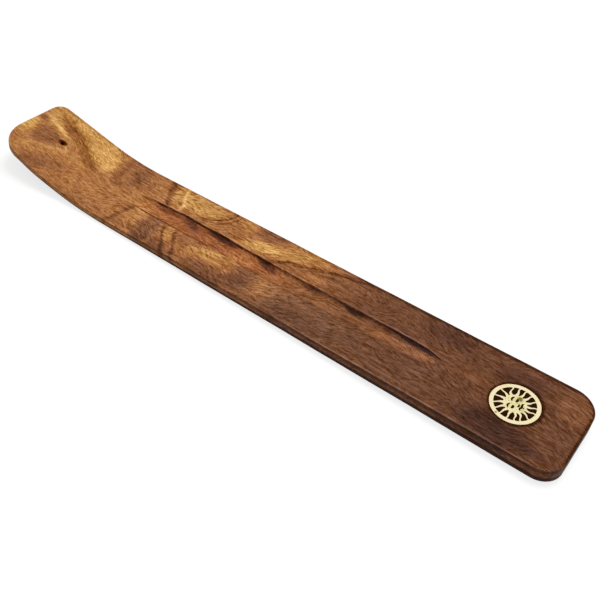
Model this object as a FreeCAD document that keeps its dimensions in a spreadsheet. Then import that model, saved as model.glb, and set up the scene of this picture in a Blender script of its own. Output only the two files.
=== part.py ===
import FreeCAD, Part
import math
import os

import Sketcher
from FreeCAD import Placement, Rotation, Vector

# Wooden incense stick holder: a thin plank with a turned-up tip, an ash groove, a slanted stick hole
# and a pierced brass sun bedded in dark lac at the flat end.
# +X runs along the plank to its flat end, +Y across it and +Z up. The origin is on the table, under the
# middle of the plank. Inside the plank's own body, X is measured from where the bend starts.

doc = FreeCAD.newDocument("IncenseHolder")
sheet = doc.addObject("Spreadsheet::Sheet", "Sizes")

# Driving dimensions, in millimetres, degrees and counts.
driving_dimensions = [
    ("board_width", 38, "width of the plank"),
    ("flat_length", 199, "flat end to the start of the bend"),
    ("bend_radius", 147, "underside of the bend"),
    ("bend_angle", 12.7, "slope of the raised tip"),
    ("tip_length", 33.6, "straight run after the bend"),
    ("end_thickness", 5.6, "plank at the flat end"),
    ("bend_thickness", 2.7, "plank where the bend starts"),
    ("tip_thickness", 2.3, "plank along the raised tip"),
    ("end_corner_far", 9.5, "flat end's corner on the +Y side"),
    ("end_corner_near", 7.5, "flat end's corner on the -Y side"),
    ("tip_corner_far", 5, "tip's corner on the +Y side"),
    ("tip_corner_near", 15, "tip's corner on the -Y side"),
    ("edge_round", 0.5, "sanded edges above and below"),
    ("groove_start", 0.5, "bend start to the groove's first end"),
    ("groove_length", 149, "groove from end to end on the surface"),
    ("groove_depth", 1.7, "deepest stretch of the groove"),
    ("groove_nose", 5.6, "radius of the groove's round section"),
    ("groove_runout", 17, "length over which each end rises"),
    ("hole_diameter", 2.2, "stick hole"),
    ("hole_from_tip", 20.6, "tip's end to the hole, along the top"),
    ("hole_offset", 1.8, "hole off the middle line, towards +Y"),
    ("hole_lean", 45, "stick's lean from upright, over the groove"),
    ("sun_from_end", 23, "flat end to the inlay's centre"),
    ("sun_radius", 8.45, "brass ring, outside"),
    ("ring_width", 1.45, "brass ring, across its band"),
    ("sun_thickness", 1, "brass sheet"),
    ("hub_radius", 4.1, "face that the rays spring from"),
    ("ray_count", 16, "flame rays"),
    ("ray_base", 1.2, "ray's width at the face"),
    ("ray_point", 0.6, "ray's width at the ring"),
    ("ray_sweep", 5, "turn of a ray from face to ring"),
    ("ray_bow", 2.5, "how far a ray's flanks bow, as an angle"),
    ("face_cut", 0.4, "width of the cuts that draw the face"),
    ("eye_offset", 1.6, "eye from the face's middle line"),
    ("eye_rise", 0.3, "eyes above the face's centre"),
    ("eye_length", 1.3, "eye cut"),
    ("brow_rise", 1.5, "brows above the face's centre"),
    ("brow_length", 1.9, "brow cut"),
    ("nose_drop", 1.1, "nose below the face's centre"),
    ("nose_length", 1.2, "nose cut"),
    ("mouth_drop", 1.95, "mouth below the face's centre"),
    ("mouth_length", 2.7, "mouth cut"),
    ("cut_bow", 0.3, "rise of a bowed cut at its middle"),
    ("lac_moat", 0.35, "lac between the ring and the wood"),
    ("lac_bed", 0.3, "lac under the brass"),
    ("tool_overrun", 1, "how far cutters pass the wood"),
]
for row, (alias, value, meaning) in enumerate(driving_dimensions, start=1):
    sheet.set(f"A{row}", meaning)
    sheet.set(f"B{row}", str(value))
    sheet.setAlias(f"B{row}", alias)
doc.recompute()


def size(alias):
    return float(sheet.get(alias))


# Slopes and places that follow from the driving dimensions.
bend_turn = math.radians(size("bend_angle"))
taper = math.atan2(size("end_thickness") - size("bend_thickness"), size("flat_length"))
tip_along = Vector(-math.cos(bend_turn), 0, math.sin(bend_turn))
tip_normal = Vector(math.sin(bend_turn), 0, math.cos(bend_turn))
top_along = Vector(math.cos(taper), 0, math.sin(taper))
top_normal = Vector(-math.sin(taper), 0, math.cos(taper))
bend_end = Vector(-math.sin(bend_turn), 0, 1 - math.cos(bend_turn)) * size("bend_radius")
tip_under = bend_end + tip_along * size("tip_length")
tip_over = tip_under + tip_normal * size("tip_thickness")
top_at_bend = Vector(0, 0, size("bend_thickness"))
bend_start_x = (-tip_under.x - size("flat_length")) / 2
across = Vector(0, 1, 0)
sheet_normal = Vector(0, 0, 1)
down = 1.5 * math.pi
mostly = 0.5

# A sketch's own origin and upright axis, as its constraints number them.
root, upright_axis = -1, -2


def top_point(run):
    return top_at_bend + top_along * run


def in_profile(vector):
    return Vector(vector.x, vector.z, 0)


def origin_plane(body, role):
    return next(feature for feature in body.Origin.OriginFeatures if feature.Role == role)


def new_sketch(body, name, role):
    sketch = body.newObject("Sketcher::SketchObject", name)
    sketch.AttachmentSupport = [(origin_plane(body, role), "")]
    sketch.MapMode = "FlatFace"
    return sketch


def drive(sketch, name, expression, *constraint):
    index = sketch.addConstraint(Sketcher.Constraint(*constraint))
    sketch.renameConstraint(index, name)
    sketch.setExpression(f"Constraints.{name}", expression)


def join(sketch, *pairs):
    for edge, end, next_edge, next_end in pairs:
        sketch.addConstraint(Sketcher.Constraint("Coincident", edge, end, next_edge, next_end))


def edge_near(shape, point):
    distances = [(edge.CenterOfMass - point).Length for edge in shape.Edges]
    return f"Edge{distances.index(min(distances)) + 1}"


def face_middle(face):
    u_low, u_high, v_low, v_high = face.ParameterRange
    return (u_low + u_high) / 2, (v_low + v_high) / 2


def rim_edges(shape, upward):
    # The outline of all the faces that look mostly up (upward 1) or mostly down (upward -1).
    faces = [face for face in shape.Faces if upward * face.normalAt(*face_middle(face)).z > mostly]
    edges = [edge for face in faces for edge in face.Edges]
    rim = [edge for edge in edges if sum(edge.isSame(other) for other in edges) == 1]
    names = []
    for index, edge in enumerate(shape.Edges, start=1):
        if any(edge.isSame(other) for other in rim):
            names.append(f"Edge{index}")
    return names


# Board: the side profile, padded across the plank.
board = doc.addObject("PartDesign::Body", "board")
board.Label = "board"
board.Placement = Placement(Vector(bend_start_x, 0, 0), Rotation())

# The upper bend touches the tapering top where the bend starts and the tip's upper face further on.
upper_turn = bend_turn + taper
tangent_run = (tip_over - top_at_bend).dot(tip_normal) / -top_along.dot(tip_normal)
upper_bend_end = top_at_bend + (tip_along - top_along) * tangent_run
upper_radius = tangent_run / math.tan(upper_turn / 2)
upper_centre = top_at_bend + top_normal * upper_radius

profile = new_sketch(board, "SideProfile", "XZ_Plane")
end_under = Vector(size("flat_length"), 0, 0)
end_over = Vector(size("flat_length"), size("end_thickness"), 0)
under_circle = Part.Circle(Vector(0, size("bend_radius"), 0), sheet_normal, size("bend_radius"))
upper_circle = Part.Circle(in_profile(upper_centre), sheet_normal, upper_radius)
underside = profile.addGeometry(Part.LineSegment(end_under, Vector(0, 0, 0)))
under_bend = profile.addGeometry(Part.ArcOfCircle(under_circle, down - bend_turn, down))
tip_bottom = profile.addGeometry(Part.LineSegment(in_profile(bend_end), in_profile(tip_under)))
tip_end = profile.addGeometry(Part.LineSegment(in_profile(tip_under), in_profile(tip_over)))
tip_top = profile.addGeometry(Part.LineSegment(in_profile(tip_over), in_profile(upper_bend_end)))
upper_bend = profile.addGeometry(Part.ArcOfCircle(upper_circle, down - bend_turn, down + taper))
top = profile.addGeometry(Part.LineSegment(in_profile(top_at_bend), end_over))
flat_end = profile.addGeometry(Part.LineSegment(end_over, end_under))
join(
    profile,
    (tip_bottom, 2, tip_end, 1),
    (tip_end, 2, tip_top, 1),
    (top, 2, flat_end, 1),
    (flat_end, 2, underside, 1),
    (underside, 2, root, 1),
)
profile.addConstraint([
    Sketcher.Constraint("Horizontal", underside),
    Sketcher.Constraint("Vertical", flat_end),
    Sketcher.Constraint("Tangent", underside, 2, under_bend, 2),
    Sketcher.Constraint("Tangent", under_bend, 1, tip_bottom, 1),
    Sketcher.Constraint("Perpendicular", tip_bottom, tip_end),
    Sketcher.Constraint("Parallel", tip_bottom, tip_top),
    Sketcher.Constraint("Tangent", tip_top, 2, upper_bend, 1),
    Sketcher.Constraint("Tangent", upper_bend, 2, top, 1),
    Sketcher.Constraint("PointOnObject", top, 1, upright_axis),
])
drive(profile, "flat_length", "Sizes.flat_length", "Distance", underside, size("flat_length"))
drive(profile, "bend_radius", "Sizes.bend_radius", "Radius", under_bend, size("bend_radius"))
drive(profile, "bend_angle", "Sizes.bend_angle * 1 deg", "Angle", under_bend, bend_turn)
drive(profile, "tip_length", "Sizes.tip_length", "Distance", tip_bottom, size("tip_length"))
drive(profile, "tip_thickness", "Sizes.tip_thickness", "Distance", tip_end, size("tip_thickness"))
drive(profile, "bend_thickness", "Sizes.bend_thickness", "DistanceY", root, 1, top, 1, size("bend_thickness"))
drive(profile, "end_thickness", "Sizes.end_thickness", "Distance", flat_end, size("end_thickness"))

plank = board.newObject("PartDesign::Pad", "Plank")
plank.Profile = profile
plank.SideType = "Symmetric"
plank.setExpression("Length", "Sizes.board_width")
doc.recompute()

# The four corners of the plank, seen from above, are each sanded to their own radius.
half_width = across * (size("board_width") / 2)
end_middle = Vector(size("flat_length"), 0, size("end_thickness") / 2)
tip_middle = (tip_under + tip_over) / 2
corners = [
    ("end_corner_far", end_middle + half_width),
    ("end_corner_near", end_middle - half_width),
    ("tip_corner_far", tip_middle + half_width),
    ("tip_corner_near", tip_middle - half_width),
]
rounded = plank
for alias, place in corners:
    corner_fillet = board.newObject("PartDesign::Fillet", alias)
    corner_fillet.Base = (rounded, [edge_near(rounded.Shape, place)])
    corner_fillet.setExpression("Radius", f"Sizes.{alias}")
    doc.recompute()
    rounded = corner_fillet

for name, upward in (("TopEdges", 1), ("UnderEdges", -1)):
    edge_fillet = board.newObject("PartDesign::Fillet", name)
    edge_fillet.Base = (rounded, rim_edges(rounded.Shape, upward))
    edge_fillet.setExpression("Radius", "Sizes.edge_round")
    doc.recompute()
    rounded = edge_fillet

# Ash groove: a round-nosed cutter dips in, runs along the top and rises out again.
runout_radius = (size("groove_runout") ** 2 + size("groove_depth") ** 2) / (2 * size("groove_depth"))
cutter_rise = size("groove_depth") + size("tool_overrun")
runout_turn = math.acos(1 - cutter_rise / runout_radius)
path_radius = runout_radius - size("groove_nose")
path_rise = top_normal * (runout_radius - size("groove_depth"))
dip_centre = top_point(size("groove_start") + size("groove_runout")) + path_rise
lift_centre = top_point(size("groove_start") + size("groove_length") - size("groove_runout")) + path_rise
to_floor = top_normal * -path_radius

spine = new_sketch(board, "GroovePath", "XZ_Plane")
dip_circle = Part.Circle(in_profile(dip_centre), sheet_normal, path_radius)
lift_circle = Part.Circle(in_profile(lift_centre), sheet_normal, path_radius)
lowest = down + taper
dip = spine.addGeometry(Part.ArcOfCircle(dip_circle, lowest - runout_turn, lowest))
run_start = in_profile(dip_centre + to_floor)
run_end = in_profile(lift_centre + to_floor)
run = spine.addGeometry(Part.LineSegment(run_start, run_end))
lift = spine.addGeometry(Part.ArcOfCircle(lift_circle, lowest, lowest + runout_turn))
spine.addConstraint([
    Sketcher.Constraint("Tangent", dip, 2, run, 1),
    Sketcher.Constraint("Tangent", run, 2, lift, 1),
    Sketcher.Constraint("Equal", dip, lift),
])
run_length = (lift_centre - dip_centre).Length
drive(spine, "run_length", "Sizes.groove_length - 2 * Sizes.groove_runout", "Distance", run, run_length)
doc.recompute()

nose = board.newObject("Sketcher::SketchObject", "GrooveNose")
nose.AttachmentSupport = [(spine, "Edge1")]
nose.MapMode = "NormalToEdge"
nose_circle = nose.addGeometry(Part.Circle(Vector(0, 0, 0), sheet_normal, size("groove_nose")))
join(nose, (nose_circle, 3, root, 1))
drive(nose, "groove_nose", "Sizes.groove_nose", "Radius", nose_circle, size("groove_nose"))
doc.recompute()

groove = board.newObject("PartDesign::SubtractivePipe", "AshGroove")
groove.Profile = nose
groove.Spine = (spine, ["Edge1", "Edge2", "Edge3"])
doc.recompute()

# Stick hole: drilled through the raised tip, leaning back over the groove.
lean = math.radians(size("hole_lean"))
hole_along = Vector(math.sin(lean), 0, math.cos(lean))
hole_mouth = tip_over - tip_along * size("hole_from_tip") + across * size("hole_offset")
to_normal = lean - bend_turn
hole_slant = math.tan(to_normal) * size("hole_diameter") / 2
hole_through = size("tip_thickness") / math.cos(to_normal)
hole_reach = hole_slant + size("tool_overrun")
stick_hole = board.newObject("PartDesign::SubtractiveCylinder", "StickHole")
stick_hole.setExpression("Radius", "Sizes.hole_diameter / 2")
stick_hole.Height = hole_through + 2 * hole_reach
stick_hole.Placement = Placement(
    hole_mouth - hole_along * (hole_through + hole_reach), Rotation(sheet_normal, hole_along))
doc.recompute()

# Pocket for the inlay, square to the tapering top.
sun_top = top_point(size("flat_length") / math.cos(taper) - size("sun_from_end"))
tilt = Rotation(sheet_normal, top_normal)
pocket_floor = sun_top - top_normal * (size("sun_thickness") + size("lac_bed"))
pocket = board.newObject("PartDesign::SubtractiveCylinder", "SunPocket")
pocket.setExpression("Radius", "Sizes.sun_radius + Sizes.lac_moat")
pocket.setExpression("Height", "Sizes.sun_thickness + Sizes.lac_bed + Sizes.tool_overrun")
pocket.Placement = Placement(pocket_floor, tilt)
doc.recompute()

# Brass sun: a disc pierced by one window between each two rays. The face looks up, its crown towards the tip.
row_shift = Vector(bend_start_x, 0, 0)
brass_sun = doc.addObject("PartDesign::Body", "brass_sun")
brass_sun.Label = "brass_sun"
brass_sun.Placement = Placement(row_shift + sun_top - top_normal * size("sun_thickness"), tilt)

disc_outline = new_sketch(brass_sun, "DiscOutline", "XY_Plane")
disc_circle = disc_outline.addGeometry(Part.Circle(Vector(0, 0, 0), sheet_normal, size("sun_radius")))
join(disc_outline, (disc_circle, 3, root, 1))
drive(disc_outline, "sun_radius", "Sizes.sun_radius", "Radius", disc_circle, size("sun_radius"))
disc = brass_sun.newObject("PartDesign::Pad", "Disc")
disc.Profile = disc_outline
disc.setExpression("Length", "Sizes.sun_thickness")
doc.recompute()


def polar(radius, angle):
    return Vector(radius * math.cos(angle), radius * math.sin(angle), 0)


ring_inner = size("sun_radius") - size("ring_width")
pitch = 2 * math.pi / size("ray_count")
inner_half = (pitch - size("ray_base") / size("hub_radius")) / 2
outer_half = (pitch - size("ray_point") / ring_inner) / 2
sweep = math.radians(size("ray_sweep"))
bow = math.radians(size("ray_bow"))
middle_radius = (size("hub_radius") + ring_inner) / 2


def window_flank(side):
    inner_angle = side * inner_half
    outer_angle = sweep + side * outer_half
    middle_angle = (inner_angle + outer_angle) / 2 - bow
    radii = (size("hub_radius"), middle_radius, ring_inner)
    angles = (inner_angle, middle_angle, outer_angle)
    return [polar(radius, angle) for radius, angle in zip(radii, angles)]


window_outline = new_sketch(brass_sun, "RayWindow", "XY_Plane")
hub_circle = Part.Circle(Vector(0, 0, 0), sheet_normal, size("hub_radius"))
ring_circle = Part.Circle(Vector(0, 0, 0), sheet_normal, ring_inner)
hub_side = window_outline.addGeometry(Part.ArcOfCircle(hub_circle, -inner_half, inner_half))
window_outline.addGeometry(Part.Arc(*window_flank(1)))
ring_side = window_outline.addGeometry(Part.ArcOfCircle(ring_circle, sweep - outer_half, sweep + outer_half))
window_outline.addGeometry(Part.Arc(*window_flank(-1)))
join(window_outline, (hub_side, 3, root, 1), (ring_side, 3, root, 1))
drive(window_outline, "hub_radius", "Sizes.hub_radius", "Radius", hub_side, size("hub_radius"))
drive(window_outline, "ring_inner", "Sizes.sun_radius - Sizes.ring_width", "Radius", ring_side, ring_inner)
window = brass_sun.newObject("PartDesign::Pocket", "Window")
window.Profile = window_outline
window.Type = "ThroughAll"
window.Reversed = True
doc.recompute()

rays = brass_sun.newObject("PartDesign::PolarPattern", "Rays")
rays.Originals = [window]
rays.Axis = (window_outline, ["N_Axis"])
rays.setExpression("Occurrences", "Sizes.ray_count")
brass_sun.Tip = rays
doc.recompute()


def bowed_cut(sketch, across_face, up_face, length, bow_height):
    # A cut of even width along a shallow arc, with round ends; the face's up is the disc's -X.
    half = size("face_cut") / 2
    arc_radius = (length ** 2 / 4 + bow_height ** 2) / (2 * abs(bow_height))
    half_turn = math.asin(length / (2 * arc_radius))
    facing = math.pi if bow_height > 0 else 0
    crown = Vector(-up_face - bow_height, across_face, 0)
    centre = crown - polar(arc_radius, facing)
    start, stop = facing - half_turn, facing + half_turn
    inner = Part.Circle(centre, sheet_normal, arc_radius - half)
    outer = Part.Circle(centre, sheet_normal, arc_radius + half)
    sketch.addGeometry(Part.ArcOfCircle(inner, start, stop))
    sketch.addGeometry(Part.ArcOfCircle(outer, start, stop))
    for angle, turn in ((start, -math.pi), (stop, 0)):
        cap = Part.Circle(centre + polar(arc_radius, angle), sheet_normal, half)
        sketch.addGeometry(Part.ArcOfCircle(cap, angle + turn, angle + turn + math.pi))


face_lines = new_sketch(brass_sun, "FaceLines", "XY_Plane")
for side in (-1, 1):
    eye_place = side * size("eye_offset")
    bowed_cut(face_lines, eye_place, size("brow_rise"), size("brow_length"), size("cut_bow"))
    bowed_cut(face_lines, eye_place, size("eye_rise"), size("eye_length"), -size("cut_bow"))
bowed_cut(face_lines, 0, -size("nose_drop"), size("nose_length"), -size("cut_bow"))
bowed_cut(face_lines, 0, -size("mouth_drop"), size("mouth_length"), size("cut_bow"))
face = brass_sun.newObject("PartDesign::Pocket", "Face")
face.Profile = face_lines
face.Type = "ThroughAll"
face.Reversed = True
brass_sun.Tip = face
doc.recompute()

# Lac: fills the pocket flush with the top, under, around and through the brass.
lac_blank = doc.addObject("Part::Cylinder", "LacBlank")
lac_blank.setExpression("Radius", "Sizes.sun_radius + Sizes.lac_moat")
lac_blank.setExpression("Height", "Sizes.sun_thickness + Sizes.lac_bed")
lac_blank.Placement = Placement(row_shift + pocket_floor, tilt)
lac_bed = doc.addObject("Part::Cut", "lac_bed")
lac_bed.Label = "lac_bed"
lac_bed.Base = lac_blank
lac_bed.Tool = brass_sun
doc.recompute()

# Every object has to have come out right before anything is written.
failed = [item.Name for item in doc.Objects if "Invalid" in item.State or "Error" in item.State]
if failed:
    raise RuntimeError(f"failed objects: {failed}")
sub_parts = [board, brass_sun, lac_bed]
for sub_part in sub_parts:
    if sub_part.Shape.isNull() or not sub_part.Shape.isValid() or len(sub_part.Shape.Solids) != 1:
        raise RuntimeError(f"bad shape: {sub_part.Label}")

os.makedirs("parts", exist_ok=True)
for sub_part in sub_parts:
    sub_part.Shape.exportStep(f"parts/{sub_part.Label}.step")
    box = sub_part.Shape.BoundBox
    print(f"{sub_part.Label}: {sub_part.Shape.Volume:.1f} mm3, X {box.XMin:.2f} to {box.XMax:.2f},"
          f" Y {box.YMin:.2f} to {box.YMax:.2f}, Z {box.ZMin:.2f} to {box.ZMax:.2f}")
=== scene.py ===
import math
import bpy
import bmesh
import numpy as np
from mathutils import Matrix, Vector


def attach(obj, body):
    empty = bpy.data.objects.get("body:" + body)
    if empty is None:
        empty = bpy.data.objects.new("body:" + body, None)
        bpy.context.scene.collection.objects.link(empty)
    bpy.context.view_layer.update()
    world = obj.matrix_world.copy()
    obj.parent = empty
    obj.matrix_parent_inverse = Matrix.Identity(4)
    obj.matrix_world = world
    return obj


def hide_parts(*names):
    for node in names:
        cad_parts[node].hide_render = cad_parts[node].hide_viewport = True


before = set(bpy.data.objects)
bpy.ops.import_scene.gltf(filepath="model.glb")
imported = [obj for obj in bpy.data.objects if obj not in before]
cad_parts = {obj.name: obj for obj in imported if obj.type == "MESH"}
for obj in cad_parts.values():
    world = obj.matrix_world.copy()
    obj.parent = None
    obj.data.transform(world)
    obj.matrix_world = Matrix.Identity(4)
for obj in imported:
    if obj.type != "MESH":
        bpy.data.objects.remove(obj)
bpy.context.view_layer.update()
mm = 0.001
print("frame loaded:", sorted(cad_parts))


# One output of a node. Arithmetic on it adds Math nodes to the same tree.
class Wire:
    def __init__(self, tree, socket):
        self.tree = tree
        self.socket = socket

    def __add__(self, other):
        return calc("ADD", self, other)

    def __sub__(self, other):
        return calc("SUBTRACT", self, other)

    def __rsub__(self, other):
        return calc("SUBTRACT", other, self)

    def __mul__(self, other):
        return calc("MULTIPLY", self, other)

    def __truediv__(self, other):
        return calc("DIVIDE", self, other)

    def __pow__(self, other):
        return calc("POWER", self, other)

    __radd__ = __add__
    __rmul__ = __mul__


def plug(tree, socket, value):
    if isinstance(value, Wire):
        tree.links.new(value.socket, socket)
    elif value is not None:
        socket.default_value = value


# Any node: inputs go by socket name or number, settings are its properties, the result is one output.
def add(tree, kind, inputs=None, output=0, **settings):
    node = tree.nodes.new(kind)
    for name, value in settings.items():
        setattr(node, name, value)
    for name, value in (inputs or {}).items():
        plug(tree, node.inputs[name], value)
    return Wire(tree, node.outputs[output])


def calc(operation, *values, clamp=False):
    tree = next(v.tree for v in values if isinstance(v, Wire))
    return add(tree, "ShaderNodeMath", dict(enumerate(values)), operation=operation, use_clamp=clamp)


def clamp01(value):
    return calc("ADD", value, 0.0, clamp=True)


# A smooth step, which holds its ends by itself.
def ramp(value, start, end, outFrom=0.0, outTo=1.0):
    inputs = {"Value": value, "From Min": start, "From Max": end, "To Min": outFrom, "To Max": outTo}
    settings = {"interpolation_type": "SMOOTHSTEP", "clamp": False}
    return add(value.tree, "ShaderNodeMapRange", inputs, "Result", **settings)


# Rises from start to full and falls from waning to end.
def band(value, start, full, waning, end):
    return ramp(value, start, full) * ramp(value, end, waning)


def splitVector(wire):
    node = add(wire.tree, "ShaderNodeSeparateXYZ", {0: wire}).socket.node
    return [Wire(wire.tree, socket) for socket in node.outputs]


def joinVector(tree, x, y, z):
    return add(tree, "ShaderNodeCombineXYZ", {"X": x, "Y": y, "Z": z})


def vectorMath(operation, first, second=None, scale=None, output=0):
    inputs = {0: first, 1: second, 3: scale}
    return add(first.tree, "ShaderNodeVectorMath", inputs, output, operation=operation)


def centred(colour):
    return vectorMath("SUBTRACT", colour, (0.5, 0.5, 0.5))


def flattened(place):
    return vectorMath("MULTIPLY", place, (1.0, 1.0, 0.0))


# A node tree with named inputs, each of a kind; returns the tree and its inputs as wires.
def newTree(kind, name, inputs, output, outputKind):
    tree = bpy.data.node_groups.new(name, kind)
    for label, inputKind in inputs.items():
        tree.interface.new_socket(label, in_out="INPUT", socket_type="NodeSocket" + inputKind)
    tree.interface.new_socket(output, in_out="OUTPUT", socket_type="NodeSocket" + outputKind)
    source = tree.nodes.new("NodeGroupInput")
    return tree, {socket.name: Wire(tree, socket) for socket in source.outputs if socket.name}


def geometryTree(name, numbers):
    inputs = {"Geometry": "Geometry", **dict.fromkeys(numbers, "Float"), "Material": "Material"}
    return newTree("GeometryNodeTree", name, inputs, "Geometry", "Geometry")


def endTree(tree, geometry, material):
    real = add(tree, "GeometryNodeRealizeInstances", {"Geometry": geometry})
    dressed = add(tree, "GeometryNodeSetMaterial", {"Geometry": real, "Material": material})
    plug(tree, tree.nodes.new("NodeGroupOutput").inputs[0], dressed)


def joinParts(tree, *parts):
    node = tree.nodes.new("GeometryNodeJoinGeometry")
    for part in parts:
        tree.links.new(part.socket, node.inputs[0])
    return Wire(tree, node.outputs[0])


# A number that the mesh carries under a name, read in Geometry Nodes or in a material.
def carried(tree, name):
    return add(tree, "GeometryNodeInputNamedAttribute", {"Name": name}, data_type="FLOAT")


def painted(tree, name):
    return add(tree, "ShaderNodeAttribute", output="Fac", attribute_name=name)


# Makes the result of the modifiers the object's own plain mesh.
def settle(obj):
    made = bpy.data.meshes.new_from_object(obj.evaluated_get(bpy.context.evaluated_depsgraph_get()))
    obj.modifiers.clear()
    obj.data = made


def pick(values, *names):
    return {name: values[name] for name in names}


# Runs a tree on an object.
def grow(obj, tree, values):
    modifier = obj.modifiers.new(tree.name, "NODES")
    modifier.node_group = tree
    for item in tree.interface.items_tree:
        if item.in_out == "INPUT" and item.name in values:
            modifier[item.identifier] = values[item.name]
    settle(obj)


def newObject(name, data):
    obj = bpy.data.objects.new(name, data)
    bpy.context.scene.collection.objects.link(obj)
    return obj


# A mesh whose points carry named numbers.
def markedMesh(name, places, edges, faces, marks):
    mesh = bpy.data.meshes.new(name)
    mesh.from_pydata(places, edges, faces)
    for label, values in marks.items():
        mesh.attributes.new(label, "FLOAT", "POINT").data.foreach_set("value", values)
    return mesh


# Faces between two rings of points, and between a ring and one point.
def bridge(faces, outer, inner):
    count = len(outer)
    for k in range(count):
        faces.append((outer[k], outer[(k + 1) % count], inner[(k + 1) % count], inner[k]))


def fan(faces, ring, hub):
    for k in range(len(ring)):
        faces.append((ring[k], ring[(k + 1) % len(ring)], hub))


def turnOutward(mesh):
    shape = bmesh.new()
    shape.from_mesh(mesh)
    bmesh.ops.recalc_face_normals(shape, faces=shape.faces)
    shape.to_mesh(mesh)
    shape.free()


def newMaterial(name):
    material = bpy.data.materials.new(name)
    material.use_nodes = True
    tree = material.node_tree
    return material, tree, next(n for n in tree.nodes if n.type == "BSDF_PRINCIPLED")


def dress(tree, shader, values):
    for name, value in values.items():
        plug(tree, shader.inputs[name], value)


# Object coordinates in millimetres.
def millimetres(tree):
    return vectorMath("SCALE", add(tree, "ShaderNodeTexCoord", output="Object"), scale=1 / mm)


# Noise that is finer or coarser along the plank than across it.
def noiseAt(place, along, across, detail=2.0, rough=0.5, output=0):
    spot = vectorMath("MULTIPLY", place, (along, across, across))
    inputs = {"Vector": spot, "Scale": 1.0, "Detail": detail, "Roughness": rough}
    return add(place.tree, "ShaderNodeTexNoise", inputs, output)


def mixColours(factor, first, second, blend="MIX"):
    first, second = [c if isinstance(c, Wire) else (*c, 1) for c in (first, second)]
    inputs = {"Factor": factor, "A": first, "B": second}
    return add(factor.tree, "ShaderNodeMix", inputs, "Result", data_type="RGBA", blend_type=blend)


def bumpFrom(height, strength, depth):
    inputs = {"Strength": strength, "Distance": depth * mm, "Height": height}
    return add(height.tree, "ShaderNodeBump", inputs)


# Board: a plank that thins towards a turned-up tip. All sizes in millimetres.
plank = {
    "width": 38.0,
    "flatLength": 199.0,
    "bendRadius": 147.0,
    "bendAngle": math.radians(12.7),
    "tipLength": 33.53,
    "endThickness": 5.6,
    "bendThickness": 2.7,
    "tipThickness": 2.3,
    "endX": 132.05,
    "endCorners": {1: 9.5, -1: 7.5},  # far and near side
    "tipCorners": {1: 5.0, -1: 14.0},
    "drawIn": 1.0,  # the near side is rubbed in towards the tip, over these distances from it
    "drawFrom": 28.0,
    "drawTo": 10.0,
    "edgeRound": 0.2,
    "tipEdgeRound": 0.36,
    "roundRun": [150, 190],  # where the first rounding passes into the second
    "underRound": 0.16,
    "edgeWobble": 0.1,
    "wobbleScale": 0.11,
    "wobbleSlant": 1.7,
    "unevenness": 0.07,
    "sanding": (0.035, 0.09, 3.0),  # how fine the unevenness is along, across and from face to face
    "inset": 1.3,  # where the flat net of faces stops and the rounded rim begins
    "rimBand": 0.8,  # inset of the rim's first and last ring
    "topEdge": [(0, 0.6), (20, 0.8), (40, 1.0), (58, 0.9), (75, 0.4), (90, 0.0)],  # degrees, how strong the painted highlight and the shine
    "flank": [  # lift, sink, how dark the painted shade, below 0 painted light
        (0.8, -0.15, 0.5), (0.7, -0.1, 0.1), (0.5, 0.0, -0.5), (0.36, 0.05, -0.4), (0.27, 0.06, 1.6),
        (0.14, 0.06, 2.4)],
    "underEdge": [90, 60, 30, 0],  # degrees
    # Painted shade on the rounded edge underneath and just under the top arris:
    "underEdgeShade": 2.4,
    "arrisShade": 0.6,
    "edgeSeed": 9,
    "step": 1.15,
    "endSteps": 17,
    "tipSteps": 20,
}
groove = {
    "start": 49.55,
    "end": 198.5,
    "depth": 1.7,
    "nose": 5.6,  # radius of the round-nosed cutter
    "runout": 17.0,
    "softEdge": 0.06,
    "steepness": 5.0,
    "reach": 8.0,  # nothing is cut further out than this
    "lead": 3.0,  # how far before its start the groove fades out
    "leastHalf": 1.2,
    "fan": 0.3,  # how the net's columns spread again before the start
    "calm": 12.0,
    "bellies": [(-40, 9, 0.7), (-21, 7, 0.55)],  # where the far edge bows out: middle, reach, how far
    "slip": (-4, 5, 0.45),  # where both edges slip to the near side: middle, reach, how far
}
# Columns of the net from the middle line outwards; those of the lip are measured from the groove's edge.
netColumns = {
    "floor": [0.0, 0.7, 1.4, 2.1, 2.7, 3.15, 3.5, 3.75, 3.9],
    "lip": [-0.06, 0.0, 0.07, 0.2, 0.45],
    "side": [4.9, 5.6],
    "evenFrom": 6.5,
    "evenCount": 12,
    "straightFrom": 9.5,
}
# Openings: rings from the net inwards are shares of the way left to the edge, each with its sink.
stickHole = {
    "fromTip": 20.6,
    "across": 1.8,
    "radius": 1.1,
    "lean": math.radians(45) - plank["bendAngle"],
    "exitShare": 0.1,
    "clearing": 4.6,
    "mouth": [(0.7, 0), (0.45, 0), (0.28, 0), (0.16, -0.01), (0.08, -0.05), (0.03, -0.12), (0.0, -0.25)],
    "mouthRagged": (0.07, 3.0, 4),  # how ragged, how fine, seed
    "wall": (0.75, 0.5, 0.25),
    "exit": [(0.7, 0), (0.45, 0), (0.28, 0), (0.14, 0.01), (0.05, 0.05), (0.0, 0.2)],
    "exitRagged": (0.05, 3.0, 5),
}
sunPocket = {
    "fromEnd": 23.0,
    "radius": 8.8,
    "depth": 1.36,
    "clearing": 11.2,
    "lip": [(0.7, 0), (0.4, 0), (0.18, 0), (0.07, 0), (0.03, -0.005), (0.012, -0.03), (0.0, -0.09)],
    "lipRagged": (0.004, 3.0, 6),
    "floor": [(1.0, 0.1), (0.985, 0.0), (0.6, 0.0), (0.2, 0.0)],  # share of the radius, height over the floor
}

bendArc = plank["bendRadius"] * plank["bendAngle"]
plankLength = plank["flatLength"] + bendArc + plank["tipLength"]
halfWidth = plank["width"] / 2


def cutHalf(depth):
    return math.sqrt(groove["nose"] ** 2 - (groove["nose"] - depth) ** 2)


grooveHalf = cutHalf(groove["depth"])


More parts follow.
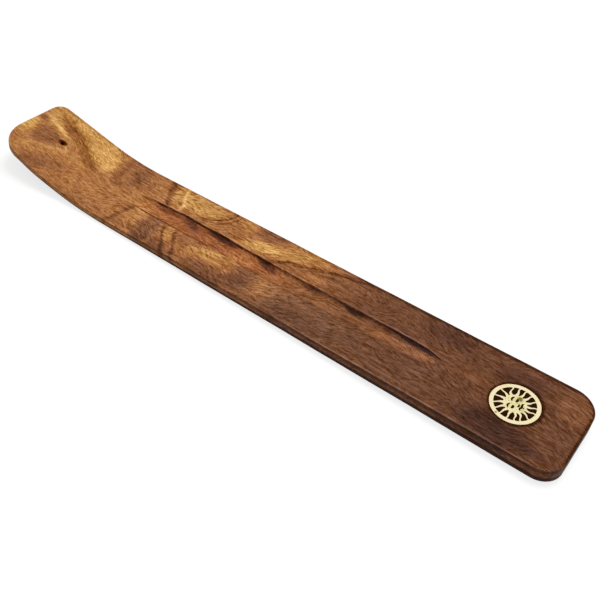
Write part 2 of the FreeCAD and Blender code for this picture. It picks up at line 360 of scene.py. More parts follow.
# Three sines with random starts, together about -1 to 1.
def waver(values, scale, seed):
    rng = np.random.default_rng(seed)
    total = np.zeros_like(values)
    for octave in (1.0, 2.3, 5.1):
        total += np.sin(values * scale * octave + rng.uniform(0, 6.28)) / octave
    return total / 1.6


# How far the net's rim lies from the middle line, and which way it faces, at a place along the plank.
def rimAt(along, side):
    inset = plank["inset"]
    share = (along - plankLength + plank["drawFrom"]) / (plank["drawFrom"] - plank["drawTo"])
    share = min(max(share, 0.0), 1.0) if side < 0 else 0.0
    sideAt = halfWidth - plank["drawIn"] * share * share * (3 - 2 * share)
    endRound = plank["endCorners"][side]
    tipRound = plank["tipCorners"][side]
    if along < endRound:
        centre, radius = endRound, endRound
    elif along > plankLength - tipRound:
        centre, radius = plankLength - tipRound, tipRound
    else:
        return sideAt - inset, (0.0, float(side))
    over = min(abs(along - centre), radius - inset)
    rise = math.sqrt(max((radius - inset) ** 2 - over ** 2, 0.0))
    facing = (math.copysign(over, along - centre) / (radius - inset), side * rise / (radius - inset))
    return sideAt - radius + rise, facing


def arcStations(radius, steps):
    turns = np.linspace(0, math.pi / 2, steps)
    return radius - (radius - plank["inset"]) * np.cos(turns)


# The groove's two edges at a place along the plank, cut by eye and drawn to a point at one end.
def grooveEdgesAt(along):
    into = along - groove["start"]
    least = groove["leastHalf"]
    if into < 0:
        half = max(least, min(grooveHalf, least - into * groove["fan"]))
    else:
        left = max(1 - into / groove["runout"], 0.0)
        half = max(cutHalf(groove["depth"] * (1 - left * left)), least)
    x = plank["endX"] - along
    belly = sum(size * math.exp(-((x - middle) / reach) ** 2) for middle, reach, size in groove["bellies"])
    middle, reach, size = groove["slip"]
    slip = size / (1 + math.exp(-(x - middle) / reach))
    calm = 1.0 if into >= 0 else max(0.0, 1 + into / groove["calm"])
    return -half - slip * calm, half + (belly - slip) * calm


# The net's columns follow the groove's edges, so that these stay clean.
def columnAt(reference, along, side):
    scale = rimAt(along, side)[0] / (halfWidth - plank["inset"])
    near, far = grooveEdgesAt(along)
    free = netColumns["straightFrom"]
    if abs(reference) <= grooveHalf:
        place = near + (reference / grooveHalf + 1) / 2 * (far - near)
    elif abs(reference) < free:
        edge = far if reference > 0 else -near
        outside = (abs(reference) - grooveHalf) * (free - edge) / (free - grooveHalf)
        place = math.copysign(edge + outside, reference)
    else:
        place = reference
    return place * scale


# Where a place lies in the groove: -1 at the near edge, 1 at the far edge.
def bankAt(along, across):
    near, far = grooveEdgesAt(along)
    return max(-3.0, min(3.0, (2 * across - near - far) / (far - near)))


def plankNet():
    endSteps = arcStations(max(plank["endCorners"].values()), plank["endSteps"])
    tipSteps = plankLength - arcStations(max(plank["tipCorners"].values()), plank["tipSteps"])[::-1]
    count = int((tipSteps[0] - endSteps[-1]) / plank["step"])
    between = np.linspace(endSteps[-1], tipSteps[0], count)[1:-1]
    half = netColumns["floor"] + [grooveHalf + v for v in netColumns["lip"]] + netColumns["side"]
    half += list(np.linspace(netColumns["evenFrom"], halfWidth - plank["inset"], netColumns["evenCount"]))
    references = [-v for v in half[:0:-1]] + half
    rows = []
    for along in np.concatenate([endSteps, between, tipSteps]):
        rows.append([(along, columnAt(r, along, 1 if r >= 0 else -1)) for r in references])
    return np.array(rows)


def ringOfCells(i0, i1, j0, j1):
    there = [(i0, j) for j in range(j0, j1)] + [(i, j1) for i in range(i0, i1)]
    back = [(i1, j) for j in range(j1, j0, -1)] + [(i, j0) for i in range(i1, i0, -1)]
    return there + back


# The rings of the rounded rim from the top face to the underside: inset, lift, sink, painted highlight mark,
# painted shade and light mark.
def rimLevels(rounding):
    levels = [(plank["rimBand"], 1.0, 0.0, 0.0, 0.0)]
    # Each ring of the top edge carries how strong its painted highlight is.
    for degrees, arrisHighlight in plank["topEdge"]:
        turn = math.radians(degrees)
        drop = -rounding * (1 - math.cos(turn))
        # Painted shade just under the top arris.
        dark = plank["arrisShade"] * math.sin(turn) ** 10
        levels.append((rounding * (1 - math.sin(turn)), 1.0, drop, arrisHighlight, dark))
    levels += [(0.0, lift, sink, 0.0, dark) for lift, sink, dark in plank["flank"]]
    # The rounded edge underneath takes the most painted shade.
    for turn in np.radians(plank["underEdge"]):
        inset, rise = [plank["underRound"] * (1 - v) for v in (math.sin(turn), math.cos(turn))]
        levels.append((inset, 0.0, rise, 0.0, plank["underEdgeShade"]))
    return levels + [(plank["rimBand"], 0.0, 0.0, 0.0, 1.0)]


# The flat blank: x runs along the plank, y across. Lift is 0 below and 1 on top, sink is added to the height.
def plankBlank():
    net = plankNet()
    rows, columns = net.shape[:2]
    places, faces = [], []
    marks = {name: [] for name in ("lift", "sink", "rim", "flank", "bank")}

    def vertex(spot, lift, sink, rim=0.0, flank=0.0):
        along, across = spot
        places.append((along, across, 0.0))
        for name, value in zip(marks, (lift, sink, rim, flank, bankAt(along, across))):
            marks[name].append(value)
        return len(places) - 1

    # Adds a ring of points and joins it to the last one.
    def carry(ring, spots, lift, sink, rim=0.0, flank=0.0):
        sinks = np.broadcast_to(sink, len(spots))
        added = [vertex(spot, lift, s, rim, flank) for spot, s in zip(spots, sinks)]
        bridge(faces, ring, added)
        return added

    def block(centre, reach):
        i0, i1 = np.searchsorted(net[:, columns // 2, 0], [centre[0] - reach, centre[0] + reach])
        j0, j1 = np.searchsorted(net[(i0 + i1) // 2, :, 1], [centre[1] - reach, centre[1] + reach])
        return i0, i1, j0, j1

    def layer(lift, blocks):
        index = -np.ones((rows, columns), int)
        used = np.ones((rows - 1, columns - 1), bool)
        for i0, i1, j0, j1 in blocks:
            used[i0:i1, j0:j1] = False
        for i in range(rows):
            for j in range(columns):
                if used[max(i - 1, 0):i + 1, max(j - 1, 0):j + 1].any():
                    index[i, j] = vertex(net[i, j], lift, 0.0)
        for i, j in np.argwhere(used):
            faces.append((index[i, j], index[i, j + 1], index[i + 1, j + 1], index[i + 1, j]))
        return index

    # Rings from a square opening in the net to a round edge.
    def closeIn(index, cells, centre, radii, lift, steps, ragged):
        square = np.array([net[c] for c in cells])
        turn = np.arctan2((square[:, 1] - centre[1]) / radii[1], (square[:, 0] - centre[0]) / radii[0])
        size, scale, seed = ragged
        reach = 1 + size * waver(turn, scale, seed)
        edge = np.c_[np.cos(turn) * radii[0] * reach, np.sin(turn) * radii[1] * reach] + centre
        ring = [index[c] for c in cells]
        for share, sink in steps:
            ring = carry(ring, edge + (square - edge) * share, lift, sink)
        return ring, edge

    holeTop = np.array([plankLength - stickHole["fromTip"], stickHole["across"]])
    holeRun = plank["tipThickness"] * math.tan(stickHole["lean"])
    holeBlock = block(holeTop + (holeRun / 2, 0), stickHole["clearing"])
    pocketCentre = np.array([sunPocket["fromEnd"], 0.0])
    pocketBlock = block(pocketCentre, sunPocket["clearing"])
    top = layer(1.0, [holeBlock, pocketBlock])
    under = layer(0.0, [holeBlock])

    # Stick hole
    cells = ringOfCells(*holeBlock)
    ovals = (stickHole["radius"] / math.cos(stickHole["lean"]), stickHole["radius"])
    ring, topEdge = closeIn(top, cells, holeTop, ovals, 1.0, stickHole["mouth"], stickHole["mouthRagged"])
    ovals = [r * stickHole["exitShare"] for r in ovals]
    underRing, underEdge = closeIn(
        under, cells, holeTop + (holeRun, 0), ovals, 0.0, stickHole["exit"], stickHole["exitRagged"])
    for lift in stickHole["wall"]:
        ring = carry(ring, underEdge + (topEdge - underEdge) * lift, lift, 0.0)
    bridge(faces, ring, underRing)

    # Pocket for the sun
    cells = ringOfCells(*pocketBlock)
    ovals = (sunPocket["radius"],) * 2
    ring, edge = closeIn(top, cells, pocketCentre, ovals, 1.0, sunPocket["lip"], sunPocket["lipRagged"])
    for share, height in sunPocket["floor"]:
        ring = carry(ring, pocketCentre + (edge - pocketCentre) * share, 1.0, height - sunPocket["depth"])
    fan(faces, ring, vertex(pocketCentre, 1.0, -sunPocket["depth"]))

    # The rounded rim: rings carried outwards from the net's border, down the side and back in underneath.
    border = ringOfCells(0, rows - 1, 0, columns - 1)
    spots = np.array([net[c] for c in border])
    facing = np.zeros_like(spots)
    for k, (i, j) in enumerate(border):
        if i == 0:
            facing[k] = -1, 0
        elif i == rows - 1:
            facing[k] = 1, 0
        else:
            facing[k] = rimAt(net[i, j, 0], 1 if j else -1)[1]
    run = spots[:, 0] + plank["wobbleSlant"] * spots[:, 1]
    wobble = plank["edgeWobble"] * (0.5 + 0.5 * waver(run, plank["wobbleScale"], plank["edgeSeed"]))
    rounding = np.interp(spots[:, 0], plank["roundRun"], [plank["edgeRound"], plank["tipEdgeRound"]])
    ring = [top[c] for c in border]
    for inset, lift, sink, rim, flank in rimLevels(rounding):
        out = (plank["inset"] - inset) - wobble * (1 - inset / plank["inset"])
        ring = carry(ring, spots + facing * out[:, None], lift, sink, rim, flank)
    bridge(faces, ring, [under[c] for c in border])
    return markedMesh("board_blank", places, [], faces, marks)


# The tree that bends, thins and hollows the blank.
def plankTree(sizes):
    tree, given = geometryTree("BendThinAndHollow", sizes)
    along, across, _ = splitVector(add(tree, "GeometryNodeInputPosition"))
    lift, sink, bank = [carried(tree, name) for name in ("lift", "sink", "bank")]
    flatLength, bendRadius = given["flatLength"], given["bendRadius"]
    grooveStart, runout = given["start"], given["runout"]

    arc = bendRadius * given["bendAngle"]
    flatRun = calc("MINIMUM", along, flatLength)
    bendRun = calc("MINIMUM", calc("MAXIMUM", along - flatLength, 0.0), arc)
    tipRun = calc("MAXIMUM", along - flatLength - arc, 0.0)
    turn = bendRun / bendRadius
    sine = calc("SINE", turn)
    cosine = calc("COSINE", turn)
    underX = given["endX"] - flatRun - bendRadius * sine - tipRun * cosine
    underZ = bendRadius * (1.0 - cosine) + tipRun * sine

    thinning = given["bendThickness"] - given["endThickness"]
    share = bendRun / arc
    slope = thinning / flatLength * arc
    ease = share * share * (3.0 - 2.0 * share)
    onward = share * (1.0 - share) * (1.0 - share)
    thickness = given["endThickness"] + thinning * flatRun / flatLength + slope * onward
    thickness = thickness + (given["tipThickness"] - given["bendThickness"]) * ease

    # Round-nosed groove: pointed at the flat end, fading in at the bend.
    rise = clamp01(1.0 - (along - grooveStart) / runout)
    depth = given["depth"] * (1.0 - rise * rise)
    cut = depth * (1.0 - calc("ABSOLUTE", bank) ** given["steepness"])
    soft = given["softEdge"]
    cut = 0.5 * (cut + calc("SQRT", cut * cut + soft * soft))
    fadeIn = clamp01((given["end"] - along) / runout)
    cut = cut * (1.0 - (1.0 - fadeIn) * (1.0 - fadeIn))
    cut = cut * ramp(along, grooveStart - groove["lead"], grooveStart)
    onTop = calc("GREATER_THAN", lift, 0.99)
    cut = cut * onTop * calc("LESS_THAN", calc("ABSOLUTE", across), groove["reach"])

    # Sanding by hand leaves the face a little uneven.
    spot = joinVector(tree, *[wire * fine for wire, fine in zip((along, across, lift), plank["sanding"])])
    uneven = add(tree, "ShaderNodeTexNoise", {"Vector": spot, "Scale": 1.0, "Detail": 2.0})
    uneven = uneven * given["unevenness"]
    height = lift * thickness + sink - cut - uneven * ramp(lift, 0.5, 1.0)
    place = joinVector(tree, underX + sine * height, across, underZ + cosine * height)
    inputs = {"Geometry": given["Geometry"], "Name": "hollow", "Value": cut}
    hollowed = add(tree, "GeometryNodeStoreNamedAttribute", inputs, data_type="FLOAT", domain="POINT")
    bent = add(tree, "GeometryNodeSetPosition", {"Geometry": hollowed, "Position": place})
    smooth = add(tree, "GeometryNodeSetShadeSmooth", {"Geometry": bent, "Shade Smooth": True})
    endTree(tree, smooth, given["Material"])
    return tree


def buildBoard(material):
    sizes = pick(plank, "flatLength", "bendRadius", "bendAngle", "endThickness", "bendThickness",
                 "tipThickness", "endX", "unevenness")
    sizes.update(pick(groove, "start", "end", "depth", "runout", "softEdge", "steepness"))
    obj = newObject("board_wood", plankBlank())
    grow(obj, plankTree(sizes), {**sizes, "Material": material})
    turnOutward(obj.data)
    obj.data.transform(Matrix.Scale(mm, 4))
    print("board:", len(obj.data.polygons), "faces")
    return obj


# Brass sun, drawn face up in millimetres: +y is the crown of the face, angles run clockwise from it.
sun = {
    "radius": 8.45,
    "ringInner": 7.1,
    "hubRadius": 3.85,
    "thickness": 1.0,
    "topHeight": 5.265,
    "rayPoint": 0.44,
    "raysMeet": 0.34,  # how much of the gap each ray takes at the hub
    "rayFlare": 3.2,  # how fast a ray thins on its way out
    "rayBow": 1.4,
    "rayWaves": 5.6,
    "windowCorner": 0.05,
    "windowCuts": 19,
    "rimPoints": 160,
    "wobble": 0.13,
    "wobbleScale": 0.9,
    "strokeEnds": 0.4,  # how broad a stroke is at its ends
    "strokeSwell": 0.8,
    "weld": 0.001,
    "edgeRound": 0.045,
    "edgeAngle": math.radians(50),  # sharper edges than this are rounded
    "rays": [  # turn at the hub, sweep on the way to the ring, and wave, in degrees
        (-1, -2.5, 1), (25, 1, 1.6), (46, 12, -3), (72.5, 8.5, 2.4), (93, 5, 2), (115, 3, 2.4), (139, -1, 2),
        (160, 1, 2), (183, -2, 2.4), (203, 3, -2), (226, 2, -3.2), (245, -1, -3), (265, 4, 1.6),
        (289, 2, 1.8), (310, 1, 1.6), (334, -4, 1)],
    "cuts": [  # points of a stroke, and its greatest breadth
        ([(-2.8, 1.25), (-1.85, 1.8), (-0.75, 1.4)], 0.72),
        ([(0.5, 1.35), (1.5, 1.82), (2.55, 1.4)], 0.72),
        ([(-2.45, 0.4), (-1.65, 0.08), (-0.85, 0.35)], 0.98),
        ([(0.85, 0.24), (1.6, -0.02), (2.35, 0.26)], 0.98),
        ([(-0.85, -1.12), (-0.05, -1.36), (0.7, -1.12)], 0.68),
        ([(-1.55, -2.5), (-0.8, -2.1), (0.0, -2.35), (0.85, -2.1), (1.65, -2.55)], 0.85),
        ([(-0.4, -2.98), (0.0, -3.08), (0.38, -3.0)], 0.36)],
}
sunTilt = math.atan((plank["endThickness"] - plank["bendThickness"]) / plank["flatLength"])
sunTop = Vector((plank["endX"] - sunPocket["fromEnd"], 0.0, sun["topHeight"]))
sunPlace = Matrix.Scale(mm, 4) @ Matrix.Translation(sunTop) @ Matrix.Rotation(-sunTilt, 4, "Y")
sunPlace = sunPlace @ Matrix.Rotation(math.pi / 2, 4, "Z")
rayMarks = ("leftTurn", "leftSweep", "leftWave", "rightTurn", "rightSweep", "rightWave")


# A tapered stroke as a closed outline.
def strokeOutline(points, breadth, steps=14):
    knots = np.array(points)
    spread = np.linspace(0, 1, len(knots))
    fit = np.polynomial.polynomial.polyfit(spread, knots, len(knots) - 1)
    shares = np.linspace(0, 1, steps)
    line = np.polynomial.polynomial.polyval(shares, fit).T
    run = np.gradient(line, axis=0)
    run /= np.linalg.norm(run, axis=1)[:, None]
    swell = sun["strokeEnds"] + (1 - sun["strokeEnds"]) * np.sin(np.pi * shares) ** sun["strokeSwell"]
    aside = np.c_[-run[:, 1], run[:, 0]] * (breadth / 2 * swell)[:, None]
    return np.concatenate([line + aside, (line - aside)[::-1]])


# One point for each window between two rays, then the outlines of the strokes.
def sunSeed():
    rays = sun["rays"] + [(sun["rays"][0][0] + 360, *sun["rays"][0][1:])]
    marks = {name: [] for name in rayMarks}
    for ray, nextRay in zip(rays, rays[1:]):
        for name, degrees in zip(rayMarks, (*ray, *nextRay)):
            marks[name].append(math.radians(degrees))
    places, edges = [(0.0, 0.0, 0.0)] * len(sun["rays"]), []
    for points, breadth in sun["cuts"]:
        outline = strokeOutline(points, breadth)
        first = len(places)
        places += [(p[0], p[1], 0.0) for p in outline]
        edges += [(first + k, first + (k + 1) % len(outline)) for k in range(len(outline))]
    for values in marks.values():
        values += [0.0] * (len(places) - len(values))
    return markedMesh("sun_seed", places, edges, [], marks)


# Sixteen windows between the rays and the strokes of the face are taken out of a disc.
def sunTree(sizes):
    tree, given = geometryTree("PiercedSun", sizes)
    loose = calc("LESS_THAN", add(tree, "GeometryNodeInputMeshVertexNeighbors"), 0.5)
    inputs = {"Width": 1.0, "Height": 1.0}
    pane = add(tree, "GeometryNodeCurvePrimitiveQuadrilateral", inputs, mode="RECTANGLE")
    pane = add(tree, "GeometryNodeSubdivideCurve", {"Curve": pane, "Cuts": sun["windowCuts"]})
    inputs = {"Points": given["Geometry"], "Selection": loose, "Instance": pane}
    panes = add(tree, "GeometryNodeInstanceOnPoints", inputs)
    panes = add(tree, "GeometryNodeRealizeInstances", {"Geometry": panes})

    across, out, _ = splitVector(add(tree, "GeometryNodeInputPosition"))
    across = across + 0.5
    out = out + 0.5
    corner = calc("ABSOLUTE", across * 2.0 - 1.0) ** 10.0
    out = out - corner * sun["windowCorner"] * ramp(out, 0.6, 1.0)
    radius = given["hubRadius"] + out * (given["ringInner"] - given["hubRadius"])
    leftTurn, leftSweep, leftWave, rightTurn, rightSweep, rightWave = [carried(tree, n) for n in rayMarks]
    gap = rightTurn - leftTurn
    bow = calc("MAXIMUM", out, 0.0) ** sun["rayBow"]
    narrowing = 1.0 - calc("MAXIMUM", 1.0 - out, 0.0) ** sun["rayFlare"]
    slimmest = given["rayPoint"] * 0.5 / radius
    half = gap * given["raysMeet"] * (1.0 - narrowing) + slimmest * narrowing
    wave = calc("SINE", out * sun["rayWaves"])
    leftEdge = leftTurn + leftSweep * bow + leftWave * wave + half
    rightEdge = rightTurn + rightSweep * bow + rightWave * wave - half
    turn = leftEdge + (rightEdge - leftEdge) * across
    place = joinVector(tree, radius * calc("SINE", turn), radius * calc("COSINE", turn), 0.0)
    panes = add(tree, "GeometryNodeSetPosition", {"Geometry": panes, "Position": place})

    strokes = add(tree, "GeometryNodeMeshToCurve", {"Mesh": given["Geometry"]})
    inputs = {"Resolution": sun["rimPoints"], "Radius": given["radius"]}
    rim = add(tree, "GeometryNodeCurvePrimitiveCircle", inputs, mode="RADIUS")
    lines = joinParts(tree, panes, strokes, rim)
    spot = add(tree, "GeometryNodeInputPosition")
    inputs = {"Vector": spot, "Scale": sun["wobbleScale"], "Detail": 2.0}
    shake = flattened(centred(add(tree, "ShaderNodeTexNoise", inputs, "Color")))
    shake = vectorMath("SCALE", shake, scale=given["wobble"])
    drawn = add(tree, "GeometryNodeSetPosition", {"Geometry": lines, "Offset": shake})
    sheet = add(tree, "GeometryNodeFillCurve", {"Curve": drawn}, mode="TRIANGLES")
    down = joinVector(tree, 0.0, 0.0, 0.0 - given["thickness"])
    inputs = {"Mesh": sheet, "Offset": down, "Offset Scale": 1.0, "Individual": False}
    walls = add(tree, "GeometryNodeExtrudeMesh", inputs, mode="FACES")
    inputs = {"Geometry": joinParts(tree, sheet, walls), "Distance": sun["weld"]}
    endTree(tree, add(tree, "GeometryNodeMergeByDistance", inputs), given["Material"])
    return tree


def buildSun(material):
    sizes = pick(sun, "radius", "ringInner", "hubRadius", "thickness", "rayPoint", "raysMeet", "wobble")
    obj = newObject("sun_brass", sunSeed())
    grow(obj, sunTree(sizes), {**sizes, "Material": material})
    turnOutward(obj.data)
    print("sun:", len(obj.data.polygons), "faces")
    return obj


# Softens the sun's sawn edges, after the lac has taken its print.
def softenSun(obj):
    bevel = obj.modifiers.new("soft edges", "BEVEL")
    bevel.width = sun["edgeRound"]
    bevel.segments = 2
    bevel.limit_method = "ANGLE"
    bevel.angle_limit = sun["edgeAngle"]
    settle(obj)


# Dark lac: a shallow cake of filler that the sun is pressed into, its top a little below the brass.
lac = {
    "rings": [0.6, 1.6, 2.6, 3.6, 4.6, 5.6, 6.6, 7.4, 8.1, 8.5, 8.68, 8.78],
    "around": 120,
    "below": 0.07,
    "bottom": 1.34,
    "ripple": 0.03,
    "edgeFrom": 8.4,  # outside the brass, where the lac is calmer and creeps down
    "edgeBreadth": 0.38,
    "edgeCalm": 0.3,
    "creep": 0.05,
    "weld": 0.0001,
    "dark": (0.010, 0.0032, 0.0006),
    "pale": (0.034, 0.011, 0.002),
    "grit": (3.0, 3.0, 3.0, 0.6),  # noise: how fine along and across, detail, roughness
    "shine": 0.02,
    "rough": 0.6,
    "gritRough": 0.3,
    "bump": (0.3, 0.05),  # strength, depth
}


def lacBlank():
    turns = np.linspace(0, 2 * math.pi, lac["around"], endpoint=False)
    places, faces = [], []

    def loop(radius, height):
        first = len(places)
        places.extend((radius * math.sin(t), radius * math.cos(t), height(radius, t)) for t in turns)
        return range(first, len(places))

    def topHeight(radius, turn):
        ripple = math.sin(radius * 2.1 + 3 * turn) * math.cos(2 * turn - radius) * lac["ripple"]
        calm = lac["edgeCalm"] if radius > lac["edgeFrom"] else 1.0
        creep = lac["creep"] * max(0.0, (radius - lac["edgeFrom"]) / lac["edgeBreadth"])
        return -lac["below"] + ripple * calm - creep

    def floorHeight(radius, turn):
        return -lac["bottom"]

    loops = [loop(r, topHeight) for r in lac["rings"]] + [loop(r, floorHeight) for r in lac["rings"][::-1]]
    for outer, inner in zip(loops, loops[1:]):
        bridge(faces, outer, inner)
    for ring, height in ((loops[0], -lac["below"]), (loops[-1], -lac["bottom"])):
        places.append((0.0, 0.0, height))
        fan(faces, ring, len(places) - 1)
    mesh = markedMesh("lac_blank", places, [], faces, {})
    turnOutward(mesh)
    return mesh


def lacTree(sunObject):
    tree, given = geometryTree("LacRoundSun", [])
    disc = add(tree, "GeometryNodeObjectInfo", {"Object": sunObject}, "Geometry")
    inputs = {"Mesh 1": given["Geometry"], "Mesh 2": disc}
    printed = add(tree, "GeometryNodeMeshBoolean", inputs, operation="DIFFERENCE", solver="EXACT")
    endTree(tree, printed, given["Material"])
    return tree


# Drops the hairline faces that the print leaves lying back to back.
def dropSlivers(mesh):
    shape = bmesh.new()
    shape.from_mesh(mesh)
    bmesh.ops.remove_doubles(shape, verts=shape.verts, dist=lac["weld"])
    bmesh.ops.triangulate(shape, faces=shape.faces)
    shape.verts.index_update()
    alike = {}
    for face in shape.faces:
        alike.setdefault(frozenset(v.index for v in face.verts), []).append(face)
    doubled = [face for faces in alike.values() if len(faces) > 1 for face in faces]
    bmesh.ops.delete(shape, geom=doubled, context="FACES")
    shape.to_mesh(mesh)
    shape.free()


def buildLac(material, sunObject):
    obj = newObject("lac_filler", lacBlank())
    grow(obj, lacTree(sunObject), {"Material": material})
    dropSlivers(obj.data)
    turnOutward(obj.data)
    print("lac:", len(obj.data.polygons), "faces")
    return obj


# A figure line in the wood: a bowed streak from Start to End that fades at both ends.
def figureLineGroup():
    inputs = {"Place": "Vector", "Start": "Vector", "End": "Vector", "Bow": "Float", "Breadth": "Float"}
    tree, given = newTree("ShaderNodeTree", "figureLine", inputs, "Ink", "Float")
    run = vectorMath("SUBTRACT", given["End"], given["Start"])
    length = vectorMath("LENGTH", run, output="Value")
    heading = vectorMath("NORMALIZE", run)
    offset = vectorMath("SUBTRACT", given["Place"], given["Start"])
    share = vectorMath("DOT_PRODUCT", offset, heading, output="Value") / length
    aside = splitVector(vectorMath("CROSS_PRODUCT", heading, offset))[2]
    aside = calc("ABSOLUTE", aside - given["Bow"] * 4.0 * share * (1.0 - share))
    ink = ramp(aside, given["Breadth"], given["Breadth"] * 0.15) * band(share, -0.1, 0.15, 0.85, 1.1)
    plug(tree, tree.nodes.new("NodeGroupOutput").inputs[0], ink)
    return tree


# A patch in the wood: an oval, turned by an angle, with an edge as soft as its Blur says.
def figurePatchGroup():
    inputs = {"Place": "Vector", "Centre": "Vector", "Reach": "Vector", "Turn": "Float", "Blur": "Float"}
    tree, given = newTree("ShaderNodeTree", "figurePatch", inputs, "Ink", "Float")
    offset = vectorMath("SUBTRACT", given["Place"], given["Centre"])
    inputs = {"Vector": offset, "Angle": given["Turn"] * -math.radians(1)}
    turned = add(tree, "ShaderNodeVectorRotate", inputs, rotation_type="Z_AXIS")
    far = vectorMath("LENGTH", vectorMath("DIVIDE", turned, given["Reach"]), output="Value")
    ink = ramp(far, 1.0 + given["Blur"], 1.0 - given["Blur"])
    plug(tree, tree.nodes.new("NodeGroupOutput").inputs[0], ink)
    return tree


